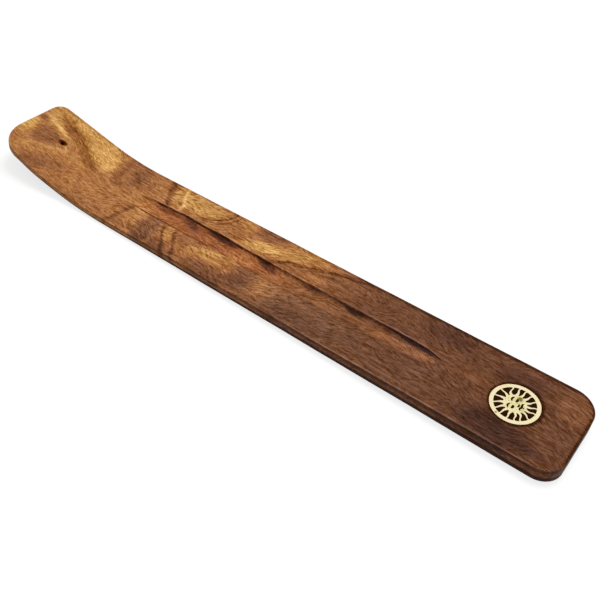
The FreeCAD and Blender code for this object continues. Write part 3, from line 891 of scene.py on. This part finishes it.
# Wood. Tone runs from 0, the palest sapwood, to 1, the darkest heartwood. Places are x, y in millimetres.
wood = {
    "tones": [
        (0.0, (0.690, 0.362, 0.104)), (0.1, (0.578, 0.290, 0.080)), (0.28, (0.428, 0.172, 0.052)),
        (0.45, (0.300, 0.114, 0.040)), (0.65, (0.181, 0.069, 0.0285)), (0.83, (0.106, 0.039, 0.0185)),
        (1.0, (0.050, 0.019, 0.012))],
    "tipTone": 0.25,
    "middleTone": 0.33,
    "endTone": 0.7,
    "slantTone": 0.29,  # the part of the darkening that comes in at a slant
    "slant": 0.5,
    "tipRun": (-70, -20),  # where each of these tones comes in
    "slantRun": (0, 44),
    "endRun": (30, 75),
    "nearTone": 0.1,
    "nearRun": (40, 10),
    "nearSide": (-10, -17),
    "patches": [  # centre, reach along and across, turn in degrees, blur, how much darker
        ((-102, 13.5), (15, 8), -24, 0.28, -0.2), ((-94, 9), (8, 5), -30, 0.6, -0.07),
        ((-53, 7), (20, 3), 0, 0.6, 0.07), ((-121, 8.5), (8, 2.5), -16, 0.6, -0.1),
        ((-122, 15.5), (10, 4), 0, 0.5, -0.15), ((-128, 7), (2.6, 1.8), 0, 0.5, 0.2),
        ((-119.5, -1), (6.5, 5.5), 18, 0.5, 0.2), ((-129, -1), (4, 5), 0, 0.6, -0.22),
        ((-107, -12), (11, 4), 24, 0.5, 0.14), ((-94, -14), (5, 3), 0, 0.5, -0.06),
        ((-79, 12), (8, 11), 0, 0.14, 0.17), ((-71, 11), (7, 8), 0, 0.5, 0.1),
        ((-80, -9), (13, 9), 0, 0.6, 0.03), ((-50, 13), (5, 9), 25, 0.4, -0.12),
        ((-37, 14), (10.5, 7), 0, 0.25, -0.17), ((-5, 8.5), (9, 3.2), 16, 0.3, -0.2),
        ((-4, 17), (8, 4), 0, 0.5, 0.2), ((-17, 15.5), (6, 4.5), 0, 0.5, -0.1),
        ((10, 13.5), (17, 6), 14, 0.4, -0.17), ((23, 7), (5, 2.2), 20, 0.4, -0.1),
        ((12, 6), (5, 2), 24, 0.5, 0.1), ((-48, -12), (4.8, 9), 0, 0.25, 0.2),
        ((-57, -9), (3.5, 5), 0, 0.4, -0.06), ((-38, -17), (8, 3), 0, 0.6, 0.14),
        ((-38.5, -8), (2.6, 6), 28, 0.3, -0.1), ((-17, -8), (11, 3), 10, 0.35, -0.16),
        ((-10, -16), (13, 3.5), 0, 0.45, 0.2), ((1, -10), (6, 5), 0, 0.6, 0.28),
        ((9, -10), (6, 4), 0, 0.5, -0.1), ((-29, -8), (6, 4), 0, 0.6, 0.07),
        ((-24, -15), (9, 3), 0, 0.6, -0.08), ((34, -15), (13, 4), 0, 0.6, 0.06),
        ((-84, 8), (8, 5), 0, 0.6, -0.09), ((-28, 8), (4, 3), 0, 0.6, -0.09),
        ((-121, -14), (7, 4), 20, 0.6, -0.06), ((23, -13), (8, 6), 0, 0.6, 0.06),
        ((78, 14), (11, 5), 0, 0.5, 0.12), ((107, -13.5), (13, 6), 0, 0.5, 0.22),
        ((122, -15), (5, 2), 0, 0.6, 0.12), ((106, 10.5), (9, 4), 0, 0.5, 0.12),
        ((126, 10), (6, 7), 0, 0.5, -0.12), ((90, 2), (6, 3), 0, 0.6, -0.06)],
    "lines": [  # start, end, bow, breadth, how much darker
        ((-124, 14.5), (-91, -1), 2.0, 4.4, 0.26), ((-118, 13), (-97, 4), 1.0, 1.0, 0.14),
        ((-132, 15.5), (-119, 13.5), 0.3, 1.0, 0.16), ((-130, 10.5), (-113, 5.4), 0.4, 1.8, -0.2),
        ((-123, -10), (-103, -1), 0.6, 2.2, -0.12), ((-99, -2), (-88, -2), 0.4, 1.0, -0.12),
        ((-84, 18), (-82, 2), 0.4, 2.2, 0.1), ((-79, 14), (-70, 6), 0.3, 1.6, 0.1),
        ((-62, 20), (-52, 4.5), 0.5, 1.9, 0.33), ((-59, 20), (-54, 11), 0.3, 1.4, 0.12),
        ((-53, 20), (-45.5, 5), 0.6, 1.3, -0.3), ((-25, 20), (-37, 7.8), 4.2, 1.1, 0.4),
        ((-22.5, 19), (-35, 6.8), 4.2, 0.9, 0.26), ((-27, 19), (-37, 9.4), 3.4, 0.7, 0.1),
        ((-16, 6.4), (2, 14), -0.6, 0.9, 0.1), ((2, 4), (44, 18), 1.4, 1.3, 0.34),
        ((4, 4.4), (40, 18.5), 2.2, 0.7, 0.16), ((17, 9.6), (29, 11), 0.2, 1.0, 0.22),
        ((34, 4), (52, 15), -1.0, 1.2, 0.08), ((-62, -4), (-65, -20), 0.8, 1.8, 0.25),
        ((-50.5, -6), (-51, -19), 0.6, 0.9, 0.1), ((-46, -5), (-46.5, -19), -0.6, 0.9, 0.12),
        ((-43.4, -4.5), (-32, -20), -1.0, 1.3, 0.38), ((-36.6, -5), (-27, -20), -0.8, 1.3, 0.32),
        ((-30, -13), (-12, -8), 1.4, 0.8, 0.1), ((-28, -9.5), (-8, -5), 0.8, 0.8, -0.1),
        ((-6, -16), (12, -15), 0.5, 1.4, -0.16)],
    "holePatches": [  # the dark mouth of the stick hole
        ((-111.7, 1.9), (2.2, 1.35), 0, 0.35, 0.9), ((-114.4, 1.8), (2.2, 0.6), 6, 0.6, 0.4),
        ((109.3, 0.15), (9.5, 9.5), 0, 0.05, 0.85)],  # and a dark ring round the inlay
    "holeLines": [
        ((-113, 3.4), (-118, 4.6), 0.2, 0.7, -0.18), ((-109.5, 1.2), (-106, -1.6), 0.2, 0.9, -0.2),
        ((-112, 0.6), (-118, -0.8), 0.2, 0.6, 0.16)],
    "residue": [  # old ash in the groove: centre, reach, turn, blur, how much darker
        ((-36.5, 3.0), (5, 1.8), -26, 0.5, 0.36), ((-20.5, 3.5), (7, 1.2), -3, 0.4, 0.5),
        ((-49, 3.0), (6, 1.1), 4, 0.6, 0.2), ((3.5, 2.4), (4.5, 1.7), -10, 0.5, 0.4),
        ((24, 2.9), (5, 1.0), 0, 0.5, 0.16), ((44, 3.0), (3.6, 1.0), 0, 0.4, 0.5),
        ((68, 3.3), (12, 0.7), -4, 0.4, 0.45), ((24, -0.5), (22, 3.4), 0, 0.6, -0.05),
        ((52, 0), (8, 3.4), 0, 0.6, -0.07), ((33, -1), (7, 3), 0, 0.6, -0.05),
        ((-56, -1), (8, 3), 0, 0.5, -0.06), ((-8, 0), (7, 3.4), 0, 0.5, -0.1)],
    "greyer": [  # duller places: centre, reach, turn, blur, how much
        ((27, -10), (21, 9), 0, 0.6, 1.0), ((70, -11), (30, 8), 0, 0.5, 0.5),
        ((-48, -12), (5, 9), 0, 0.5, 0.5)],
    "slow": (0.06, 0.1),  # noises: how fine along and across the plank, detail, roughness
    "fine": (0.35, 0.9, 4.0, 0.65),
    "speck": (1.0, 1.7, 2.0, 0.7),
    "rings": (0.016, 0.05, 1.0),
    "mottle": (0.13, 0.22, 4.0, 0.65),
    "straight": (3, 0.2, 1.6, 3.0),  # fibres: turn in degrees, how fine along and across, detail
    "rising": (-24, 0.3, 1.6, 3.0),
    "falling": (28, 0.3, 1.6, 3.0),
    "streak": (2, 0.06, 0.9, 3.0),
    "fleck": (2, 0.6, 2.2, 2.0),
    "ringCount": 150.0,
    "slowDrift": 4.0,  # how far the noises push the figure about
    "fineDrift": (3.2, 1.2, 1.2),
    "exactDrift": 1.6,
    "bankDrift": 0.3,
    "leanRising": (0.52, 0.6),  # ramps: from, to, and the values there unless these are 0 and 1
    "leanFalling": (0.47, 0.39),
    "poreRamp": (0.6, 0.68),
    "glintRamp": (0.4, 0.32),
    "ringRamp": (0.35, 1.0),
    "grainRamp": (0.3, 0.7, 0.5, -0.5),
    "tipCalm": (-98, -62, 0.76, 1.05),
    "topFace": (0.6, 0.95),
    "inside": (0.1, 0.9),
    # The painted highlight on the lip:
    "lipHighlightFade": (40, 66, 0.2, 1.0),
    # The far wall's painted shade, partly ash:
    "farWallShadeFade": (40, 0, 0.2, 0.5),
    "farWallShadeAsh": (0.38, 0.58, 0.2, 0.5),
    # The painted shadow line at the groove's near edge:
    "nearEdgeShadeFade": (-26, 0, 0.9, 0.35),
    "nearEdgeShadeBreaks": (0.36, 0.56, 0.35, 1.0),
    "arrisHighlightSide": (-16, -18),
    "edgeShadeSide": (-16, -8),
    "edgeShadeFade": (15, 75, 0.28, 0.9),
    "flankLight": (0.0, -0.4),
    "flankLightFade": (20, -60),
    "flankShadeFade": (-90, 20, 0.5, 1.0),
    "darkPatchesBore": (10, -10),
    "lineTone": 0.4,  # how strongly each of these shows
    "lineGrain": 1.3,
    "fibreDepth": 0.95,
    "speckDepth": 0.3,
    "ringDepth": 0.06,
    "streakDepth": 0.9,
    "mottleDepth": 0.3,
    "poreDepth": 0.5,
    "glintDepth": 0.46,
    # How much painted shade and painted light the flanks take:
    "flankShadeDepth": 0.26,
    "flankLightDepth": 0.15,
    "shadeThinDepth": 0.6,
    "bareTone": 0.2,
    "bareGrain": 0.22,
    "chatterDepth": 0.225,
    # The painted highlight along the near arris, and its shine:
    "arrisHighlightTone": 0.1,
    "arrisHighlightGrain": 0.62,
    "arrisHighlightShine": 0.4,
    "redDepth": 0.8,
    "leastRed": 0.06,
    "darkPatchesDepth": 0.92,
    "leastLight": 0.25,  # what the grain leaves at least, and its powers in the three colours
    "redPower": 0.85,
    "greenPower": 1.16,
    "bluePower": 1.9,
    "greyGreen": 0.1,
    "greyBlue": 0.22,
    "shine": 0.06,  # finish
    "rough": 0.42,
    "fibreRough": 0.2,
    "porePit": 0.4,
    "bump": (0.5, 0.12),  # strength, depth
    # Bands of the lip's painted highlight, the far wall's painted shade, the near edge's painted shadow line,
    # and the floor:
    "lip": (0.97, 1.02, 1.08, 1.24),  # bands across the groove, whose edges are at -1 and 1
    "farWallShade": (0.84, 0.95, 1.0, 1.06),
    "nearEdgeShade": (-1.22, -1.04, -0.94, -0.78),
    "floor": (-0.95, 0.0, 0.4, 0.7),
    "lipHighlightRun": (-66, -50, 79, 86),  # and along the plank
    "farWallShadeRun": (-66, -52, 76, 88),
    "nearEdgeShadeRun": (-66, -58, 76, 86),
    "shadeThinRun": (6, 14, 54, 62),
    "redRun": (-72, -50, -5, 30),
    "bareRun": (48, 66, 74, 86),
    "arrisHighlightRun": (14, 44, 118, 126),
    "floorRed": (0.90, 0.72, 0.74),
    "chatter": (7.5, 1.2),  # tool marks on the bare floor of the groove, along and across
    # The painted shade along the far edge and the flat end: its corner, and the distances over which it comes
    # in:
    "edgeShadeCentre": (122.95, 9.5),
    "edgeShadeReach": (7.7, 8.6),
}


# The ink of many lines or patches. A row holds the group's inputs after Place, and then how much darker.
def figureInk(group, place, rows):
    labels = [item.name for item in group.interface.items_tree if item.in_out == "INPUT"]
    total = 0.0
    for *values, darker in rows:
        values = [(*value, 0) if isinstance(value, tuple) else value for value in values]
        ink = add(place.tree, "ShaderNodeGroup", dict(zip(labels, [place, *values])), node_tree=group)
        total = ink * darker + total
    return total


# Short fibres lying at one angle to the plank.
def fibreLayer(place, degrees, along, across, detail):
    inputs = {"Vector": place, "Angle": math.radians(degrees)}
    turned = add(place.tree, "ShaderNodeVectorRotate", inputs, rotation_type="Z_AXIS")
    return noiseAt(turned, along, across, detail, 0.6)


# The colour that goes with a tone.
def toneColour(tone):
    colour = add(tone.tree, "ShaderNodeValToRGB", {"Fac": tone}, "Color")
    stops = colour.socket.node.color_ramp.elements
    while len(stops) < len(wood["tones"]):
        stops.new(0.5)
    for stop, (position, shade) in zip(stops, wood["tones"]):
        stop.position = position
        stop.color = (*shade, 1)
    return colour


# Tone picks the colour; grain, with painted light and shade, makes it lighter or darker.
def buildWood():
    material, tree, shader = newMaterial("oiled_wood")
    place = millimetres(tree)
    x, y, _ = splitVector(place)
    slow = centred(noiseAt(place, *wood["slow"], output="Color"))
    fine = centred(noiseAt(place, *wood["fine"], output="Color"))
    slowDrift = vectorMath("SCALE", slow, scale=wood["slowDrift"])
    drift = vectorMath("ADD", slowDrift, vectorMath("MULTIPLY", fine, wood["fineDrift"]))
    figure = flattened(vectorMath("ADD", place, drift))
    exact = flattened(vectorMath("ADD", place, vectorMath("SCALE", fine, scale=wood["exactDrift"])))
    along = splitVector(figure)[0]

    lineGroup = figureLineGroup()
    patchGroup = figurePatchGroup()
    tone = ramp(along, *wood["tipRun"], wood["tipTone"], wood["middleTone"])
    tone = tone + ramp(along - y * wood["slant"], *wood["slantRun"], 0.0, wood["slantTone"])
    tone = tone + ramp(along, *wood["endRun"], 0.0, wood["endTone"] - wood["middleTone"] - wood["slantTone"])
    tone = tone + ramp(y, *wood["nearSide"], 0.0, wood["nearTone"]) * ramp(x, *wood["nearRun"])
    tone = tone + figureInk(patchGroup, figure, wood["patches"])
    inks = figureInk(lineGroup, figure, wood["lines"]) + figureInk(lineGroup, exact, wood["holeLines"])
    # Dark patches: the stick hole's mouth and a ring round the inlay.
    darkPatches = figureInk(patchGroup, exact, wood["holePatches"])
    tone = tone + inks * wood["lineTone"]

    # Fibres lie along the plank, and slant one way or the other in patches.
    straight, rising, falling = [fibreLayer(place, *wood[name]) for name in ("straight", "rising", "falling")]
    lean = noiseAt(place, *wood["slow"])
    fibre = straight + (rising - straight) * ramp(lean, *wood["leanRising"])
    fibre = fibre + (falling - straight) * ramp(lean, *wood["leanFalling"])
    speck = noiseAt(place, *wood["speck"])
    streak = fibreLayer(figure, *wood["streak"])
    rings = calc("SINE", noiseAt(figure, *wood["rings"]) * wood["ringCount"])
    fleck = fibreLayer(place, *wood["fleck"])
    pore = ramp(fleck, *wood["poreRamp"])
    glint = ramp(fleck, *wood["glintRamp"])
    mottle = noiseAt(place, *wood["mottle"])
    tone = tone + (mottle - 0.5) * wood["mottleDepth"] + ramp(rings, *wood["ringRamp"]) * wood["ringDepth"]
    grainAndPaintedLight = ramp(fibre, *wood["grainRamp"]) * wood["fibreDepth"]
    grainAndPaintedLight = grainAndPaintedLight + ramp(speck, *wood["grainRamp"]) * wood["speckDepth"]
    grainAndPaintedLight = grainAndPaintedLight + (0.5 - streak) * wood["streakDepth"]
    grainAndPaintedLight = grainAndPaintedLight + glint * wood["glintDepth"] - pore * wood["poreDepth"]
    grainAndPaintedLight = grainAndPaintedLight * ramp(x, *wood["tipCalm"]) - inks * wood["lineGrain"]

    # Groove: a redder floor, a far wall dark with painted shade and ash under a pale lip of painted
    # highlight, a thin painted shadow line at the near edge.
    hollow = painted(tree, "hollow")
    bank = painted(tree, "bank")
    upper = ramp(painted(tree, "lift"), *wood["topFace"])
    shaky = bank + splitVector(fine)[1] * wood["bankDrift"]
    inside = ramp(hollow, *wood["inside"])
    reddish = band(along, *wood["redRun"])
    bare = band(along, *wood["bareRun"])
    # Painted highlight along the far lip.
    lip = upper * band(bank, *wood["lip"]) * band(along, *wood["lipHighlightRun"])
    # Painted shade on the far wall under the lip, partly ash, weaker along one stretch of the groove.
    farWallShade = upper * band(bank, *wood["farWallShade"]) * band(along, *wood["farWallShadeRun"])
    farWallShade = farWallShade * (1.0 - band(along, *wood["shadeThinRun"]) * wood["shadeThinDepth"])
    # A thin painted shadow line along the groove's near edge, broken in places.
    nearEdgeShade = band(shaky, *wood["nearEdgeShade"]) * band(along, *wood["nearEdgeShadeRun"])
    nearEdgeShade = upper * nearEdgeShade * ramp(mottle, *wood["nearEdgeShadeBreaks"]) * ramp(along, *wood["nearEdgeShadeFade"])
    floor = inside * band(bank, *wood["floor"])
    chatter = calc("SINE", x * wood["chatter"][0] + y * wood["chatter"][1])
    # The lip's painted highlight lightens the grain; the near edge's painted shadow line darkens it.
    grainAndPaintedLight = grainAndPaintedLight + lip * ramp(along, *wood["lipHighlightFade"]) - nearEdgeShade
    # The far wall's painted shade darkens the grain; its patchy part, partly ash, darkens the tone.
    grainAndPaintedLight = grainAndPaintedLight - farWallShade * ramp(along, *wood["farWallShadeFade"])
    tone = tone + farWallShade * ramp(mottle, *wood["farWallShadeAsh"])
    tone = tone + inside * figureInk(patchGroup, exact, wood["residue"])
    tone = tone - floor * bare * wood["bareTone"]
    grainAndPaintedLight = grainAndPaintedLight + floor * bare * (chatter * wood["chatterDepth"] + wood["bareGrain"])

    # Sanded edges: a painted highlight along the near arris, painted shade along the far side and at the flat
    # end.
    # The flanks are palest half-way down and darkest at the floor, with painted light and painted shade.
    rim = painted(tree, "rim")
    flank = painted(tree, "flank")
    # Painted highlight along the near arris, where the shine is raised too.
    arrisHighlight = ramp(y, *wood["arrisHighlightSide"]) * band(x, *wood["arrisHighlightRun"])
    # Painted shade along the far edge and at the flat end.
    overEnd = calc("MAXIMUM", x - wood["edgeShadeCentre"][0], 0.0)
    overFar = calc("MAXIMUM", y - wood["edgeShadeCentre"][1], 0.0)
    reach = calc("SQRT", overEnd * overEnd + overFar * overFar)
    edgeShade = ramp(reach, *wood["edgeShadeReach"]) * ramp(x, *wood["edgeShadeFade"])
    edgeShade = edgeShade * ramp(y, *wood["edgeShadeSide"])
    # Painted light half-way down the flanks towards the tip; painted shade under the arris and at the floor.
    pale = ramp(flank, *wood["flankLight"]) * ramp(x, *wood["flankLightFade"])
    tone = tone + flank * ramp(x, *wood["flankShadeFade"]) * wood["flankShadeDepth"] - pale * wood["flankLightDepth"]
    tone = tone - rim * arrisHighlight * wood["arrisHighlightTone"]
    grainAndPaintedLight = grainAndPaintedLight + rim * arrisHighlight * wood["arrisHighlightGrain"] - edgeShade

    redness = inside * (reddish * wood["redDepth"] + wood["leastRed"])
    red = mixColours(redness, toneColour(tone), wood["floorRed"], "MULTIPLY")
    grey = figureInk(patchGroup, figure, wood["greyer"])
    # Towards the tip the dark patches darken the hole's bore too, towards the flat end only the top face.
    darkPatches = clamp01(darkPatches) * calc("MAXIMUM", upper, ramp(x, *wood["darkPatchesBore"]))
    light = calc("MAXIMUM", grainAndPaintedLight + 1.0, wood["leastLight"]) * (1.0 - darkPatches * wood["darkPatchesDepth"])
    # A dark fleck is deeper in colour and a pale one is duller, so blue moves most.
    green = light ** wood["greenPower"] * (grey * wood["greyGreen"] + 1.0)
    blue = light ** wood["bluePower"] * (grey * wood["greyBlue"] + 1.0)
    dress(tree, shader, {
        "Base Color": vectorMath("MULTIPLY", red, joinVector(tree, light ** wood["redPower"], green, blue)),
        "Specular IOR Level": wood["shine"] + rim * arrisHighlight * wood["arrisHighlightShine"],
        "Roughness": wood["rough"] + fibre * wood["fibreRough"],
        "Normal": bumpFrom(fibre - pore * wood["porePit"], *wood["bump"])})
    return material


brass = {
    "colour": (0.96, 0.83, 0.57),
    "yellow": (0.88, 0.80, 0.42),
    "tarnish": (0.22, 0.18, 0.02),
    "spots": [  # places of tarnish on the face and pits in the ring: centre, reach, strength
        ((109.6, 2.9), (1.2, 1.0), 1.0), ((105.6, -7.0), (0.4, 0.4), 1.0), ((109.2, 1.8), (1.6, 1.3), 0.25),
        ((116.4, -0.5), (0.2, 0.3), 0.5), ((103.0, 5.3), (0.3, 0.2), 0.4), ((112.6, -1.0), (1.6, 1.2), 0.15)],
    "cloud": (0.5, 0.5, 3.0, 0.6),  # noises: how fine along and across, detail, roughness
    "stain": (1.7, 1.7),
    "shift": (1.2, 1.2, 3.0),
    "sanding": (1.5, 9.0),
    "cloudRamp": (0.4, 0.75),  # ramps: from, to
    "hubRamp": (5.0, 3.2),
    "stainRamp": (0.5, 0.72),
    "spotRamp": (1.2, 0.3),
    "hubWear": 0.4,
    "hubStain": 0.45,
    "leastStain": 0.12,
    "rough": 0.5,
    "sandingRough": 0.2,
    "bump": (0.15, 0.03),  # strength, depth
}


def buildBrass():
    material, tree, shader = newMaterial("inlay_brass")
    place = millimetres(tree)
    cloud = noiseAt(place, *brass["cloud"])
    hub = ramp(vectorMath("DISTANCE", place, tuple(sunTop), output="Value"), *brass["hubRamp"])
    worn = clamp01(ramp(cloud, *brass["cloudRamp"]) + hub * brass["hubWear"])
    stain = ramp(noiseAt(place, *brass["stain"]), *brass["stainRamp"])
    stain = stain * (hub * brass["hubStain"] + brass["leastStain"])
    colour = mixColours(worn, brass["colour"], brass["yellow"])
    shift = centred(noiseAt(place, *brass["shift"], output="Color"))
    spot = flattened(vectorMath("ADD", place, shift))
    for centre, reach, strength in brass["spots"]:
        offset = vectorMath("SUBTRACT", spot, (*centre, 0))
        far = vectorMath("LENGTH", vectorMath("DIVIDE", offset, (*reach, 1)), output="Value")
        stain = ramp(far, *brass["spotRamp"]) * strength + stain
    sanding = noiseAt(place, *brass["sanding"])
    dress(tree, shader, {
        "Base Color": mixColours(clamp01(stain), colour, brass["tarnish"]),
        "Metallic": 1.0,
        "Roughness": brass["rough"] + (sanding - 0.5) * brass["sandingRough"],
        "Normal": bumpFrom(sanding, *brass["bump"])})
    return material


def buildLacFinish():
    material, tree, shader = newMaterial("dark_lac")
    grit = noiseAt(millimetres(tree), *lac["grit"])
    dress(tree, shader, {
        "Base Color": mixColours(grit, lac["dark"], lac["pale"]),
        "Specular IOR Level": lac["shine"],
        "Roughness": lac["rough"] + grit * lac["gritRough"],
        "Normal": bumpFrom(grit, *lac["bump"])})
    return material


woodMaterial = buildWood()
brassMaterial = buildBrass()
lacMaterial = buildLacFinish()
print("finishes made")

boardWood = buildBoard(woodMaterial)
sunBrass = buildSun(brassMaterial)
lacFiller = buildLac(lacMaterial, sunBrass)
softenSun(sunBrass)
for piece in (sunBrass, lacFiller):
    piece.data.transform(sunPlace)

for piece, node, slotName in ((boardWood, "board", "oiled_wood"), (sunBrass, "brass_sun", "inlay_brass"),
                              (lacFiller, "lac_bed", "dark_lac")):
    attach(piece, "root")
    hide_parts(node)

# Floor, light and camera, in metres
studio = {
    "floorColour": (0.34, 0.34, 0.34, 1),
    "floorLift": 0.72,
    "floorReach": 6.0,
    "floorDrop": 0.00002,
    "ambient": 0.54,
    "keyPlace": (0.08, 0.42, 1.0),
    "keyPower": 5.8,
    "keySize": 0.5,
    "lens": 47.31,
    "cameraPlace": (0.14364, -0.17723, 0.20308),
    "cameraAxes": (  # right, up and back
        (0.79333, 0.60663, 0.05121), (-0.44948, 0.52692, 0.72133), (0.41060, -0.59527, 0.69070)),
}


# 1 for what the camera sees straight or by way of metal or glass, so that the background stays white there.
def seenByCamera(tree):
    rays = tree.nodes.new("ShaderNodeLightPath")
    seen = [Wire(tree, rays.outputs[n]) for n in ("Is Camera Ray", "Is Glossy Ray", "Is Transmission Ray")]
    return calc("MAXIMUM", calc("MAXIMUM", seen[0], seen[1]), seen[2])


def buildFloor():
    mesh = bpy.data.meshes.new("floor")
    reach = studio["floorReach"]
    corners = [(-reach, -reach, 0), (reach, -reach, 0), (reach, reach, 0), (-reach, reach, 0)]
    mesh.from_pydata(corners, [], [(0, 1, 2, 3)])
    floor = newObject("floor", mesh)
    floor.location.z = -studio["floorDrop"]
    material, tree, shader = newMaterial("white_floor")
    dress(tree, shader, {
        "Base Color": studio["floorColour"],
        "Roughness": 1.0,
        "Specular IOR Level": 0.0,
        "Emission Color": (1, 1, 1, 1),
        "Emission Strength": seenByCamera(tree) * studio["floorLift"]})
    mesh.materials.append(material)


def buildLight():
    world = bpy.data.worlds.new("studio")
    bpy.context.scene.world = world
    world.use_nodes = True
    tree = world.node_tree
    back = next(n for n in tree.nodes if n.type == "BACKGROUND")
    strength = studio["ambient"] + seenByCamera(tree) * (1.0 - studio["ambient"])
    dress(tree, back, {"Color": (1, 1, 1, 1), "Strength": strength})
    lamp = bpy.data.lights.new("softbox", "AREA")
    lamp.shape = "DISK"
    lamp.size = studio["keySize"]
    lamp.energy = studio["keyPower"]
    holder = newObject("softbox", lamp)
    holder.visible_glossy = False
    holder.location = studio["keyPlace"]
    holder.rotation_euler = (-Vector(studio["keyPlace"])).to_track_quat("-Z", "Y").to_euler()


def buildCamera():
    lens = bpy.data.cameras.new("camera")
    lens.sensor_width = 36.0
    lens.lens = studio["lens"]
    lens.clip_start = 0.01
    camera = newObject("camera", lens)
    turned = Matrix(studio["cameraAxes"]).transposed().to_4x4()
    camera.matrix_world = Matrix.Translation(studio["cameraPlace"]) @ turned
    bpy.context.scene.camera = camera


buildFloor()
buildLight()
buildCamera()
bpy.context.scene.view_settings.view_transform = "Standard"
print("stage set")
